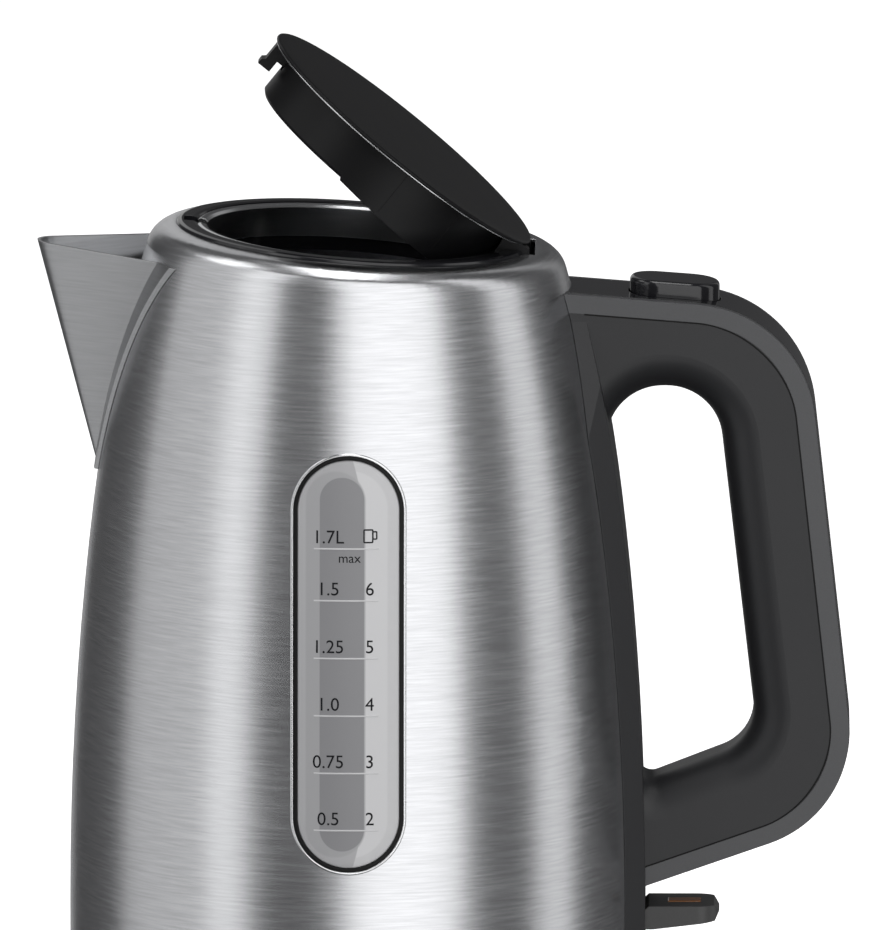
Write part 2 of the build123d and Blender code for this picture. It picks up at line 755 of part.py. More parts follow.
def is_hole_rim(edge):
    """True for an edge round the finger opening, on either side of the loop."""
    middle = edge.center()
    across = HOLE_CORNERS[0][0] - 1 < middle.X < HOLE_CORNERS[2][0] + 1
    upward = HOLE_CORNERS[3][1] - 1 < middle.Z < HOLE_CORNERS[0][1] + 1
    return across and upward and abs(abs(middle.Y) - HANDLE_W / 2) < SEAM


def extruded(sketch, half_width):
    """Solid from a side outline, half_width each way from the middle plane."""
    with BuildPart() as solid:
        extrude(sketch, amount=half_width, both=True)
    return solid.part


loop_core = extruded(handle_outline(BAND_T), HANDLE_W / 2)
loop_outer = extruded(handle_outline(0), HANDLE_W / 2)
core_cut = extruded(handle_outline(BAND_T - 0.02), HANDLE_W)
finger_hole = extruded(handle_hole(0), HANDLE_W)
loop_cavity = extruded(handle_outline(BAND_T), 10.5)
hole_wall = extruded(handle_hole(3.5), HANDLE_W)
strip_zone = extruded(handle_outline(-0.15), STRIP_W / 2)
strip_core = extruded(handle_outline(1.2), STRIP_W / 2 + 1)
pad_form = jug_form(-PAD_T, HANDLE_FOOT_Z, -3.0)
clear_form = jug_form(-PAD_T - 2.2, HANDLE_FOOT_Z, -3.0)

with BuildPart() as hollow_part:
    add(loop_cavity)
    add(hole_wall, mode=Mode.SUBTRACT)
    add(clear_form, mode=Mode.SUBTRACT)

with BuildPart() as pad:
    with BuildSketch(Plane.XZ):
        with BuildLine():
            low = Line((JUG_R + PAD_T, HANDLE_FOOT_Z), (JUG_R + PAD_T, TAPER_Z))
            waist_point = (jug_radius(WAIST_Z) + PAD_T, WAIST_Z)
            middle_arc = TangentArc(low @ 1, waist_point, tangent=low % 1)
            head_point = (jug_radius(206.0) + PAD_T, 206.0)
            head_arc = TangentArc(middle_arc @ 1, head_point, tangent=middle_arc % 1)
            Polyline(head_arc @ 1, (45, 206.0), (45, HANDLE_FOOT_Z), low @ 0)
        make_face()
    extrude(amount=PAD_HALF, both=True)
    outer_edges = [
        edge
        for edge in pad.edges()
        if abs(abs(edge.center().Y) - PAD_HALF) < SEAM
        and edge.center().X > 60
        and edge.length > 8
        and abs(edge.tangent_at(0.5).Z) > 0.5
    ]
    chamfer(outer_edges, length=6.4, length2=11.5)
    with BuildSketch(Plane.YZ.offset(30)):
        Polygon(
            (-PAD_HALF - 1, 0), (PAD_HALF + 1, 0), (PAD_HALF + 1, PAD_SHOULDER_Z), (PAD_TOP_HALF, PAD_TOP_Z),
            (-PAD_TOP_HALF, PAD_TOP_Z), (-PAD_HALF - 1, PAD_SHOULDER_Z), align=None,
        )
    extrude(amount=70, mode=Mode.INTERSECT)

with BuildPart() as handle_grip:
    add(loop_core)
    add(finger_hole, mode=Mode.SUBTRACT)
    fillet([edge for edge in handle_grip.edges() if is_hole_rim(edge)], GRIP_ROUND)
    add(hollow_part.part, mode=Mode.SUBTRACT)
    add(pad.part)
    add(jug_skin, mode=Mode.SUBTRACT)
    with BuildSketch(Plane.XZ):
        with Locations((ROCKER_X, ROCKER_Z)):
            Circle(PIN_R + 0.02)
    extrude(amount=12.6, both=True, mode=Mode.SUBTRACT)
    with Locations((62, 0, 196.5)):
        Box(16, 9, 18, mode=Mode.SUBTRACT)
    with Locations((JUG_R, 0, 35.3)):
        Box(14, LEVER_SLOT_W, 13.5, mode=Mode.SUBTRACT)
    for z, y in (SCREW_TOP, SCREW_LOW):
        with BuildSketch(Plane.YZ.offset(45)):
            with Locations((-y, z), (y, z)):
                Circle(1.55)
        extrude(amount=40, mode=Mode.SUBTRACT)
write(handle_grip, "handle_grip")

strip_inlay = strip_zone - strip_core
strip_bed = extruded(handle_outline(-1), STRIP_W / 2 + 0.03) - extruded(handle_outline(1.23), HANDLE_W)
button_pill = Plane(origin=(BUTTON_X, 0, 180))

with BuildPart() as handle_band:
    add(loop_outer)
    add(core_cut, mode=Mode.SUBTRACT)
    add(strip_bed, mode=Mode.SUBTRACT)
    add(jug_skin, mode=Mode.SUBTRACT)
    with BuildSketch(button_pill):
        RectangleRounded(BUTTON_L + 0.8, BUTTON_W + 0.8, 8.0)
    extrude(amount=40, mode=Mode.SUBTRACT)
    add(pad.part, mode=Mode.SUBTRACT)
write(handle_band, "handle_band")

with BuildPart() as handle_strip:
    add(strip_inlay)
    with Locations((120, 0, 120)):
        Box(126, 60, 240, mode=Mode.INTERSECT)
    with Locations((60, 0, 45)):
        Box(46, 60, 30, mode=Mode.SUBTRACT)
    add(jug_skin, mode=Mode.SUBTRACT)
    add(pad.part, mode=Mode.SUBTRACT)
    with BuildSketch(button_pill):
        RectangleRounded(BUTTON_L + 0.8, BUTTON_W + 0.8, 8.0)
    extrude(amount=40, mode=Mode.SUBTRACT)
write(handle_strip, "handle_strip")

screw_places = [(z, side * y) for z, y in (SCREW_TOP, SCREW_LOW) for side in (-1, 1)]

with BuildPart() as handle_screws:
    for z, y in screw_places:
        wall_x = sqrt((jug_radius(z) - WALL) ** 2 - y**2)
        with BuildSketch(Plane.YZ.offset(wall_x - 3.0)):
            with Locations((y, z)):
                Circle(2.9)
        extrude(amount=1.7)
        with BuildSketch(Plane.YZ.offset(wall_x - 1.4)):
            with Locations((y, z)):
                Circle(1.5)
        extrude(amount=6.5 if z > WAIST_Z else 4.0)
write(handle_screws, "handle_screws")

# ---------------------------------------------------------------- lid release

BUTTON_SEAT_Z = 196.6
SPRING_X = 92.0
SPRING_FLOOR_Z = 186.2
SPRING_WIRE = 0.45
handle_top_z = OUTER_CORNERS[0][1] - TOP_SLOPE * (BUTTON_X - OUTER_CORNERS[0][0])
button_top = sloped_plane((BUTTON_X, 0, handle_top_z + BUTTON_RISE), RIM_TILT)

with BuildPart() as release_button:
    with BuildSketch(Plane(origin=(BUTTON_X, 0, BUTTON_SEAT_Z))):
        RectangleRounded(BUTTON_L, BUTTON_W, 7.8)
    extrude(amount=30)
    split(bisect_by=button_top, keep=Keep.BOTTOM)
    fillet(release_button.faces().sort_by(Axis.Z)[-1].edges(), 1.4)
    with BuildSketch(Plane(origin=(BUTTON_X - 0.9, 0, BUTTON_SEAT_Z))):
        RectangleRounded(BUTTON_L + 1.6, BUTTON_W + 2.4, 8.4)
    extrude(amount=1.6)
    with BuildSketch(Plane(origin=(BUTTON_X, 0, BUTTON_SEAT_Z))):
        RectangleRounded(BUTTON_L - 4.0, BUTTON_W - 4.0, 5.8)
    extrude(amount=8.5, mode=Mode.SUBTRACT)
    with BuildSketch(Plane(origin=(79.5, 0, BUTTON_SEAT_Z))):
        Rectangle(4.0, 5.0)
    extrude(amount=9.0)
    with BuildSketch(Plane(origin=(SPRING_X, 0, BUTTON_SEAT_Z))):
        Rectangle(9.0, 12.0)
    extrude(amount=1.6)
write(release_button, "release_button")

with BuildPart() as button_spring:
    spring_h = BUTTON_SEAT_Z - SPRING_FLOOR_Z - 2 * SPRING_WIRE - 0.1
    coil_start = (SPRING_X, 0, SPRING_FLOOR_Z + SPRING_WIRE + 0.05)
    with BuildLine():
        coil = Helix(pitch=spring_h / 5, height=spring_h, radius=3.4, center=coil_start)
    with BuildSketch(Plane(origin=coil @ 0, z_dir=coil % 0)):
        Circle(SPRING_WIRE)
    sweep(path=coil)
write(button_spring, "button_spring")

with BuildPart() as release_rocker:
    with BuildSketch(Plane.XZ):
        with BuildLine():
            Polyline(
                (81.5, 192.6), (81.5, 195.9), (79.0, 196.3), (73.0, 195.0), (60.0, 196.0),
                (54.5, 202.5), (51.8, 202.5), (51.8, 200.0), (57.5, 192.4), (67.0, 189.0), (73.0, 189.0),
                close=True,
            )
        make_face()
        with Locations((ROCKER_X, ROCKER_Z)):
            Circle(PIN_R + PIN_PLAY, mode=Mode.SUBTRACT)
    extrude(amount=3.0, both=True)
write(release_rocker, "release_rocker")

with BuildPart() as rocker_pin:
    with BuildSketch(Plane.XZ):
        with Locations((ROCKER_X, ROCKER_Z)):
            Circle(PIN_R)
    extrude(amount=12.4, both=True)
write(rocker_pin, "rocker_pin")
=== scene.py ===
# %% [markdown]
# # A cordless kettle, from its CAD frame to a studio picture
#
# The CAD model already says where every part of the kettle is and how it moves. This lesson adds
# what CAD leaves out: soft edges, brushed steel, moulded plastic, the printed gauge and a studio to
# stand it in. Everything is in metres, with +Z up, the spout along -X, the handle along +X and the
# water gauge facing -Y.

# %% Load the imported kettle
import math

import bmesh
import bpy
from mathutils import Matrix, Vector
from mathutils.bvhtree import BVHTree


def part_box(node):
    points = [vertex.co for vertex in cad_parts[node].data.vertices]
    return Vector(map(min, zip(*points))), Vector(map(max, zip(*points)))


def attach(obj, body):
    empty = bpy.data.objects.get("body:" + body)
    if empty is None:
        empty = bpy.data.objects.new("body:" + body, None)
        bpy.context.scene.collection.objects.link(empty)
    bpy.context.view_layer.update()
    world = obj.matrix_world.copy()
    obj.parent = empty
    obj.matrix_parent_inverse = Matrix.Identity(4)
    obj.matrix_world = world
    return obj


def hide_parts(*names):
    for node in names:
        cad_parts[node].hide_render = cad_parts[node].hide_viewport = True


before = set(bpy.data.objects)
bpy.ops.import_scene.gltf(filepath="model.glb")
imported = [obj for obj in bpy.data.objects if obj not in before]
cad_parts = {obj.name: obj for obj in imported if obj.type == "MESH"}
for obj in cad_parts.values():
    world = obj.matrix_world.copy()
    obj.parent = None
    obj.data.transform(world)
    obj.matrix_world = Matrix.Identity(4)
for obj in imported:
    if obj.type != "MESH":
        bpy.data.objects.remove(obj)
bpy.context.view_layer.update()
MM = 0.001

# %% [markdown]
# Many steps below need the same three facts about a CAD part: its lowest corner, its highest corner
# and its middle. A short helper gives them, so that no place in this lesson is typed twice.


# %% Where a part is
def corners(node):
    """Lowest corner, highest corner and middle of a CAD node."""
    low, high = (Vector(corner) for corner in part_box(node))
    return low, high, (low + high) / 2


jug_low, jug_high, _ = corners("body_shell")
print("jug wall from", [round(v, 4) for v in jug_low], "to", [round(v, 4) for v in jug_high])

# %% [markdown]
# ## Camera
#
# A product photographer stands well back with a long lens, so that the upright sides stay upright.
# The camera looks down by about ten degrees and stands a touch to the handle's side.

# %% Place the camera
CAMERA_DISTANCE = 6.0
CAMERA_LIFT = math.radians(10.5)
CAMERA_TURN = math.radians(0.8)
FRAME_WIDTH = 0.2365
aim = Vector((0.0237, 0.0, 0.1582))

camera_data = bpy.data.cameras.new("studio_camera")
camera_data.sensor_fit = "HORIZONTAL"
camera_data.lens = camera_data.sensor_width * CAMERA_DISTANCE / FRAME_WIDTH
camera = bpy.data.objects.new("studio_camera", camera_data)
bpy.context.scene.collection.objects.link(camera)
back_off = Vector(
    (
        math.sin(CAMERA_TURN) * math.cos(CAMERA_LIFT),
        -math.cos(CAMERA_TURN) * math.cos(CAMERA_LIFT),
        math.sin(CAMERA_LIFT),
    )
)
camera.location = aim + back_off * CAMERA_DISTANCE
camera.rotation_euler = (-back_off).to_track_quat("-Z", "Y").to_euler()
bpy.context.scene.camera = camera
print("lens", round(camera_data.lens), "mm from", CAMERA_DISTANCE, "m")

# %% [markdown]
# ## Studio
#
# Brushed steel has no look of its own: it shows the room. Tall soft boxes stand round the kettle
# with dark gaps between them, and each one becomes an upright band on the round wall. The widest
# and brightest is in front, a little towards the handle. The floor glows by itself and is hidden from
# reflections and shadows, because its light would wash the dark gaps out of the steel.


# %% Soft boxes and a pale floor
def soft_box(name, turn, distance, width, height, middle_z, watts):
    """Area light at an angle round the kettle: 0 is at the camera, positive towards the handle."""
    light = bpy.data.lights.new(name, "AREA")
    light.shape = "RECTANGLE"
    light.size = width
    light.size_y = height
    light.energy = watts
    lamp = bpy.data.objects.new(name, light)
    angle = math.radians(turn)
    lamp.location = (distance * math.sin(angle), -distance * math.cos(angle), middle_z)
    towards = Vector((0, 0, 0.12)) - lamp.location
    lamp.rotation_euler = towards.to_track_quat("-Z", "Y").to_euler()
    bpy.context.scene.collection.objects.link(lamp)
    return lamp


BOX_HEIGHT = 2.6
BOX_MIDDLE_Z = 0.45
soft_box("key_box", 21, 1.3, 1.3, BOX_HEIGHT, BOX_MIDDLE_Z, 16.6)
soft_box("handle_side_box", 89, 1.2, 0.47, BOX_HEIGHT, BOX_MIDDLE_Z, 4.2)
soft_box("left_bright_box", -51, 1.3, 0.48, BOX_HEIGHT, BOX_MIDDLE_Z, 5.2)
soft_box("left_box", -84, 1.32, 1.1, BOX_HEIGHT, BOX_MIDDLE_Z, 5.4)
soft_box("back_left_box", -166, 1.5, 0.55, BOX_HEIGHT, BOX_MIDDLE_Z, 2.2)
soft_box("back_right_box", 150, 1.5, 0.35, BOX_HEIGHT, BOX_MIDDLE_Z, 0.8)
soft_box("top_box", 0, 0.12, 0.5, 0.9, 1.7, 5.6)
soft_box("top_left_box", -100, 0.9, 0.5, 0.5, 1.35, 1.6)

AIR_STRENGTH = 0.08
FLOOR_HALF = 6.0
world = bpy.data.worlds.new("studio_air")
world.use_nodes = True
world.node_tree.nodes["Background"].inputs["Color"].default_value = (0.98, 0.98, 1.0, 1)
world.node_tree.nodes["Background"].inputs["Strength"].default_value = AIR_STRENGTH
bpy.context.scene.world = world
bpy.context.scene.view_settings.view_transform = "Standard"

floor_mesh = bmesh.new()
bmesh.ops.create_grid(floor_mesh, x_segments=8, y_segments=8, size=FLOOR_HALF)
floor_data = bpy.data.meshes.new("studio_floor")
floor_mesh.to_mesh(floor_data)
floor_mesh.free()
studio_floor = bpy.data.objects.new("studio_floor", floor_data)
bpy.context.scene.collection.objects.link(studio_floor)
studio_floor.visible_glossy = False
studio_floor.visible_diffuse = False
studio_floor.visible_shadow = False

# %% [markdown]
# ## Finishes
#
# Every finish is the same small recipe with other amounts. A fine noise, stretched along the way the
# surface was worked, drives three things together: a little colour, a little roughness and a little
# height. A second, broad noise keeps large faces from looking even. The patterns use Object
# coordinates, so they stay put when a part moves.


# %% The finish recipe
def finish(name, colour, roughness, metallic=0.0, grain=(900, 900, 900), swing=0.12, uneven=0.05,
           height=0.02, edge=0.25, **fixed):
    """Principled material whose colour, roughness and height follow a stretched noise."""
    material = bpy.data.materials.new(name)
    material.use_nodes = True
    nodes, links = material.node_tree.nodes, material.node_tree.links
    shader = nodes["Principled BSDF"]
    shader.inputs["Metallic"].default_value = metallic
    for socket, value in fixed.items():
        shader.inputs[socket.replace("_", " ")].default_value = value

    place = nodes.new("ShaderNodeTexCoord")
    stretch = nodes.new("ShaderNodeMapping")
    stretch.inputs["Scale"].default_value = grain
    links.new(place.outputs["Object"], stretch.inputs["Vector"])
    fine = nodes.new("ShaderNodeTexNoise")
    fine.inputs["Scale"].default_value = 1.0
    fine.inputs["Detail"].default_value = 3.0
    links.new(stretch.outputs["Vector"], fine.inputs["Vector"])
    broad = nodes.new("ShaderNodeTexNoise")
    broad.inputs["Scale"].default_value = 22.0
    broad.inputs["Detail"].default_value = 2.0
    links.new(place.outputs["Object"], broad.inputs["Vector"])

    tone = nodes.new("ShaderNodeMapRange")
    tone.inputs["To Min"].default_value = 1.0 - swing
    tone.inputs["To Max"].default_value = 1.0 + swing
    links.new(fine.outputs["Fac"], tone.inputs["Value"])
    tint = nodes.new("ShaderNodeVectorMath")
    tint.operation = "SCALE"
    tint.inputs[0].default_value = colour
    links.new(tone.outputs["Result"], tint.inputs["Scale"])
    links.new(tint.outputs["Vector"], shader.inputs["Base Color"])

    mixed = nodes.new("ShaderNodeMath")
    mixed.operation = "ADD"
    links.new(fine.outputs["Fac"], mixed.inputs[0])
    links.new(broad.outputs["Fac"], mixed.inputs[1])
    polish = nodes.new("ShaderNodeMapRange")
    polish.inputs["From Max"].default_value = 2.0
    polish.inputs["To Min"].default_value = max(0.02, roughness - uneven)
    polish.inputs["To Max"].default_value = roughness + uneven
    links.new(mixed.outputs["Value"], polish.inputs["Value"])
    links.new(polish.outputs["Result"], shader.inputs["Roughness"])

    bump = nodes.new("ShaderNodeBump")
    bump.inputs["Strength"].default_value = 0.5
    bump.inputs["Distance"].default_value = height * MM
    links.new(fine.outputs["Fac"], bump.inputs["Height"])
    links.new(bump.outputs["Normal"], shader.inputs["Normal"])
    if edge:
        soft_edge = nodes.new("ShaderNodeBevel")
        soft_edge.samples = 4
        soft_edge.inputs["Radius"].default_value = edge * MM
        links.new(soft_edge.outputs["Normal"], bump.inputs["Normal"])
    return material


def brushed(name, colour, roughness, grain=(45, 45, 2600), anisotropic=0.65, **more):
    """Steel brushed round the kettle: long level streaks and a reflection drawn out upright."""
    material = finish(name, colour, roughness, metallic=1.0, grain=grain, Anisotropic=anisotropic, **more)
    nodes, links = material.node_tree.nodes, material.node_tree.links
    around = nodes.new("ShaderNodeTangent")
    around.direction_type = "RADIAL"
    around.axis = "Z"
    links.new(around.outputs["Tangent"], nodes["Principled BSDF"].inputs["Tangent"])
    return material


# %% Mix the finishes
WALL_GRAIN = (90, 90, 1900)
steel_wall = brushed(
    "steel_wall", (0.59, 0.595, 0.61), 0.235, grain=WALL_GRAIN, swing=0.22, uneven=0.05, height=0.012,
)
steel_bright = brushed("steel_bright", (0.70, 0.705, 0.715), 0.2, swing=0.08, height=0.006, anisotropic=0.4)
# The spout takes the wall's brushed steel in a darker colour: painted shade on the spout.
steel_spout_painted_shade = brushed(
    "steel_spout_painted_shade", (0.44, 0.445, 0.455), 0.3, grain=WALL_GRAIN, swing=0.15, height=0.012,
)
steel_plain = finish("steel_plain", (0.55, 0.55, 0.56), 0.32, 1.0, grain=(300, 300, 300), swing=0.08)
brass = finish("brass", (0.72, 0.53, 0.25), 0.3, 1.0, grain=(400, 400, 400), swing=0.1)
aluminium = finish("aluminium", (0.72, 0.72, 0.74), 0.45, 1.0, grain=(500, 500, 500), swing=0.08, height=0.04)
element_metal = finish("element_metal", (0.30, 0.27, 0.25), 0.4, 1.0, grain=(200, 200, 200), swing=0.2)
black_gloss = finish("black_gloss", (0.012, 0.012, 0.014), 0.13, swing=0.1, uneven=0.03, height=0.002)
black_lid = finish(
    "black_lid", (0.004, 0.004, 0.0045), 0.4, grain=(2600, 2600, 2600), height=0.01,
    Specular_IOR_Level=0.2,
)
grip_grey = finish("grip_grey", (0.018, 0.0182, 0.02), 0.46, grain=(3200, 3200, 3200), height=0.03)
band_grey = finish("band_grey", (0.07, 0.071, 0.075), 0.36, grain=(3200, 3200, 3200), height=0.012)
black_base = finish("black_base", (0.022, 0.022, 0.024), 0.42, grain=(2400, 2400, 2400), height=0.03)
inner_plastic = finish("inner_plastic", (0.06, 0.06, 0.06), 0.45, grain=(1200, 1200, 1200))
rubber = finish("rubber", (0.02, 0.02, 0.02), 0.75, grain=(1500, 1500, 1500), height=0.05)
silicone = finish("silicone", (0.55, 0.55, 0.53), 0.5, grain=(900, 900, 900))
seal_black = finish(
    "seal_black", (0.006, 0.006, 0.006), 0.5, grain=(1500, 1500, 1500), Specular_IOR_Level=0.2,
)
line_white = finish("line_white", (0.62, 0.62, 0.63), 0.2, grain=(700, 700, 700), swing=0.04, edge=0)
seal_grey = finish("seal_grey", (0.35, 0.35, 0.36), 0.3, grain=(900, 900, 900))
amber = finish("amber", (0.45, 0.16, 0.03), 0.15, grain=(300, 300, 300), Transmission_Weight=0.3)
gauge_clear = finish(
    "gauge_clear", (0.60, 0.60, 0.61), 0.3, grain=(500, 500, 500), swing=0.03, height=0.003,
    edge=0, Coat_Weight=0.15, Coat_Roughness=0.25, Specular_IOR_Level=0.3,
)
print_ink = finish(
    "print_ink", (0.008, 0.008, 0.01), 0.6, grain=(2000, 2000, 2000), height=0.004, edge=0,
    Specular_IOR_Level=0.15,
)
floor_paper = finish("floor_paper", (0.93, 0.93, 0.93), 0.8, grain=(60, 60, 60), swing=0.01, edge=0)
floor_shader = floor_paper.node_tree.nodes["Principled BSDF"]
floor_shader.inputs["Emission Color"].default_value = (1, 1, 1, 1)
floor_shader.inputs["Emission Strength"].default_value = 0.9
floor_data.materials.append(floor_paper)
print("finishes", len(bpy.data.materials))

# %% [markdown]
# ## The wall as a ruler
#
# The gauge is bent to the jug's round, leaning wall. Instead of repeating the wall's curve, a ray is
# shot at the plain back of the CAD wall and the place where it lands gives the radius at any height.


# %% Measure the wall, and bend flat work on to it
wall_tree = BVHTree.FromObject(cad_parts["body_shell"], bpy.context.evaluated_depsgraph_get())


def wall_radius(z):
    """Outer radius of the jug wall at height z."""
    landing = wall_tree.ray_cast(Vector((0, 1, z)), Vector((0, -1, 0)))[0]
    return landing.y


def bend_to_wall(shape):
    """Bend flat work in the XZ plane on to the front wall; its y is the depth below the surface."""
    for vert in shape.verts:
        radius = wall_radius(vert.co.z) - vert.co.y
        vert.co.y = -math.sqrt(radius**2 - vert.co.x**2)


print("wall radius at 60 and 180 mm", round(wall_radius(0.06), 4), round(wall_radius(0.18), 4))

# %% [markdown]
# Every new piece ends the same way: doubled points are merged, the faces are turned outwards, the
# mesh is smoothed between its hard edges and the piece is tied to the body it moves with.


# %% Finish a piece
def make_piece(name, shape, body, material, stands_for=(), hard_edge=32):
    """Turn a bmesh into an object that rides a body and may stand for CAD nodes."""
    bmesh.ops.remove_doubles(shape, verts=shape.verts, dist=0.002 * MM)
    bmesh.ops.recalc_face_normals(shape, faces=shape.faces)
    mesh = bpy.data.meshes.new(name)
    shape.to_mesh(mesh)
    shape.free()
    mesh.shade_smooth()
    mesh.set_sharp_from_angle(angle=math.radians(hard_edge))
    mesh.materials.append(material)
    piece = bpy.data.objects.new(name, mesh)
    bpy.context.scene.collection.objects.link(piece)
    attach(piece, body)
    if stands_for:
        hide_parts(*stands_for)
    print(name, len(mesh.polygons), "faces")
    return piece


def cut_lines(shape, normal, places):
    """Cut a shape along parallel planes so that it can bend."""
    for place in places:
        bmesh.ops.bisect_plane(
            shape, geom=shape.verts[:] + shape.edges[:] + shape.faces[:], dist=0.001 * MM,
            plane_co=Vector(normal) * place, plane_no=normal,
        )


# %% [markdown]
# ## Water gauge
#
# The gauge is a pill-shaped window. A pill is a circle whose upper half has been moved up and whose
# lower half has been moved down, so it starts from `create_circle`. Insets and extrusions then give
# the bezel, the gasket and the lens their thickness, and plane cuts give them enough points to bend.

# %% A pill-shaped face
window_low, window_high, window_middle = corners("window_frame")
GAUGE_W = window_high.x - window_low.x
GAUGE_H = window_high.z - window_low.z
GAUGE_Z = window_middle.z
PILL_POINTS = 64


def pill(width, height):
    """A pill-shaped face in the XZ plane, centred on the gauge."""
    shape = bmesh.new()
    bmesh.ops.create_circle(shape, cap_ends=True, segments=PILL_POINTS, radius=width / 2)
    half_step = Matrix.Rotation(math.pi / PILL_POINTS, 4, "Z")
    bmesh.ops.transform(shape, matrix=Matrix.Rotation(math.pi / 2, 4, "X") @ half_step, verts=shape.verts)
    for side in (-1, 1):
        half = [vert for vert in shape.verts if vert.co.z * side > 0]
        bmesh.ops.translate(shape, verts=half, vec=(0, 0, side * (height - width) / 2))
    bmesh.ops.translate(shape, verts=shape.verts, vec=(0, 0, GAUGE_Z))
    return shape


def pill_block(width, height, hole, front, back, soften):
    """Pill-shaped block or ring between two depths, with softened front edges, bent to the wall."""
    shape = pill(width, height)
    if hole:
        rim_width = (width - hole) / 2
        bmesh.ops.inset_region(
            shape, faces=shape.faces[:], thickness=rim_width, use_boundary=True, use_even_offset=True,
        )
        inner = max(shape.faces, key=lambda face: len(face.verts))
        bmesh.ops.delete(shape, geom=[inner], context="FACES")
    bmesh.ops.translate(shape, verts=shape.verts, vec=(0, back, 0))
    grown = bmesh.ops.extrude_face_region(shape, geom=shape.faces[:])
    front_verts = [item for item in grown["geom"] if isinstance(item, bmesh.types.BMVert)]
    bmesh.ops.translate(shape, verts=front_verts, vec=(0, front - back, 0))
    shape.normal_update()
    rim = [edge for edge in shape.edges
           if all(abs(vert.co.y - front) < 0.001 * MM for vert in edge.verts)
           and edge.calc_face_angle(0) > 1.0]
    bmesh.ops.bevel(
        shape, geom=rim, offset=soften, offset_type="OFFSET", segments=3, profile=0.5,
        affect="EDGES", material=-1, clamp_overlap=True,
    )
    across = [index * 1.6 * MM for index in range(-9, 10)]
    upward = [GAUGE_Z + index * 4 * MM for index in range(-13, 14)]
    cut_lines(shape, (1, 0, 0), across)
    cut_lines(shape, (0, 0, 1), upward)
    bend_to_wall(shape)
    return shape


print("gauge", round(GAUGE_W, 4), "by", round(GAUGE_H, 4), "at", round(GAUGE_Z, 4))

# %% Bezel and gasket
BEZEL_W = 0.75 * MM
GASKET_W = 1.05 * MM
gauge_bezel = make_piece(
    "gauge_bezel",
    pill_block(GAUGE_W, GAUGE_H, GAUGE_W - 2 * BEZEL_W, -0.7 * MM, -0.02 * MM, 0.3 * MM),
    "jug", steel_bright, ["window_frame"],
)
gasket_out = GAUGE_W - 2 * BEZEL_W
gauge_gasket = make_piece(
    "gauge_gasket",
    pill_block(gasket_out - 0.02 * MM, GAUGE_H - 2 * BEZEL_W - 0.02 * MM, gasket_out - 2 * GASKET_W,
               -0.42 * MM, 0.4 * MM, 0.12 * MM),
    "jug", seal_black, ["window_gasket"],
)

# %% [markdown]
# The lens is one moulding of frosted clear plastic. Behind it lies the narrow water channel, which
# shows through as a darker pill with soft borders. The finish below draws these zones with distances:
# the distance of a point from a pill's middle line, less the pill's half width, is negative inside
# and grows outside, so a Map Range turns it into a soft-edged mask. Two more pills are a painted
# reflection of the front soft box. One very wide pill paints shade over the left of the lens, and
# its right-hand edge is the line that curves over the top of the channel. A lighter pill paints a
# highlight on the lens to the right of that line.


# %% The water channel behind the frosted lens, and a painted reflection on it
def pill_mask(tree, middle_x, half_width, half_height, softness):
    """Socket that is 1 inside an upright pill of the gauge and 0 outside it."""
    nodes, links = tree.nodes, tree.links

    def maths(operation, first, second=0.0, third=None):
        node = nodes.new("ShaderNodeMath")
        node.operation = operation
        for socket, value in zip(node.inputs, (first, second, third)):
            if isinstance(value, bpy.types.NodeSocket):
                links.new(value, socket)
            elif value is not None:
                socket.default_value = value
        return node.outputs["Value"]

    place = nodes.new("ShaderNodeTexCoord")
    apart = nodes.new("ShaderNodeSeparateXYZ")
    links.new(place.outputs["Object"], apart.inputs["Vector"])
    sideways = maths("SUBTRACT", apart.outputs["X"], middle_x)
    upward = maths("ABSOLUTE", maths("SUBTRACT", apart.outputs["Z"], GAUGE_Z))
    beyond = maths("MAXIMUM", maths("SUBTRACT", upward, half_height - half_width), 0.0)
    reach = maths("SQRT", maths("ADD", maths("POWER", maths("ABSOLUTE", sideways), 2.0),
                                maths("POWER", beyond, 2.0)))
    fade = nodes.new("ShaderNodeMapRange")
    fade.interpolation_type = "SMOOTHSTEP"
    fade.inputs["From Min"].default_value = half_width + softness / 2
    fade.inputs["From Max"].default_value = half_width - softness / 2
    links.new(reach, fade.inputs["Value"])
    return fade.outputs["Result"]


def lay_zone(material, mask, colour):
    """Mix one more colour over a material's base colour where a mask is 1."""
    nodes, links = material.node_tree.nodes, material.node_tree.links
    base = nodes["Principled BSDF"].inputs["Base Color"]
    under = base.links[0].from_socket
    mix = nodes.new("ShaderNodeMix")
    mix.data_type = "RGBA"
    links.new(mask, mix.inputs["Factor"])
    links.new(under, mix.inputs["A"])
    mix.inputs["B"].default_value = colour
    links.new(mix.outputs["Result"], base)


channel_and_painted_reflection_zones = [
    # painted highlight: the lighter right-hand part of the painted reflection
    (0.2, 10.2, 51.4, 0.7, (0.66, 0.66, 0.67, 1)),
    # painted shade: the very wide pill over the left of the lens, the dark part of the painted reflection
    (-56.1, 60.0, 96.0, 0.25, (0.44, 0.44, 0.45, 1)),
    (-3.4, 7.9, 51.2, 0.7, (0.39, 0.39, 0.40, 1)),
    (-1.7, 5.9, 49.6, 0.3, (0.265, 0.265, 0.275, 1)),
]
for middle_x, half_width, half_height, softness, colour in channel_and_painted_reflection_zones:
    mask = pill_mask(gauge_clear.node_tree, middle_x * MM, half_width * MM, half_height * MM, softness * MM)
    lay_zone(gauge_clear, mask, colour)
lens_gap = 2 * (BEZEL_W + GASKET_W) + 0.04 * MM
gauge_lens = make_piece(
    "gauge_lens",
    pill_block(GAUGE_W - lens_gap, GAUGE_H - lens_gap, 0, -0.2 * MM, 1.1 * MM, 0.5 * MM),
    "jug", gauge_clear, ["water_window"],
)

# %% [markdown]
# ## Level lines and figures
#
# The lines are low ribs moulded on the lens. The figures are printed: litres on the left, cups on the
# right. Text starts as a font curve. It is made a mesh first, and only then moved to its place, cut
# so that it can bend, and laid on the wall.

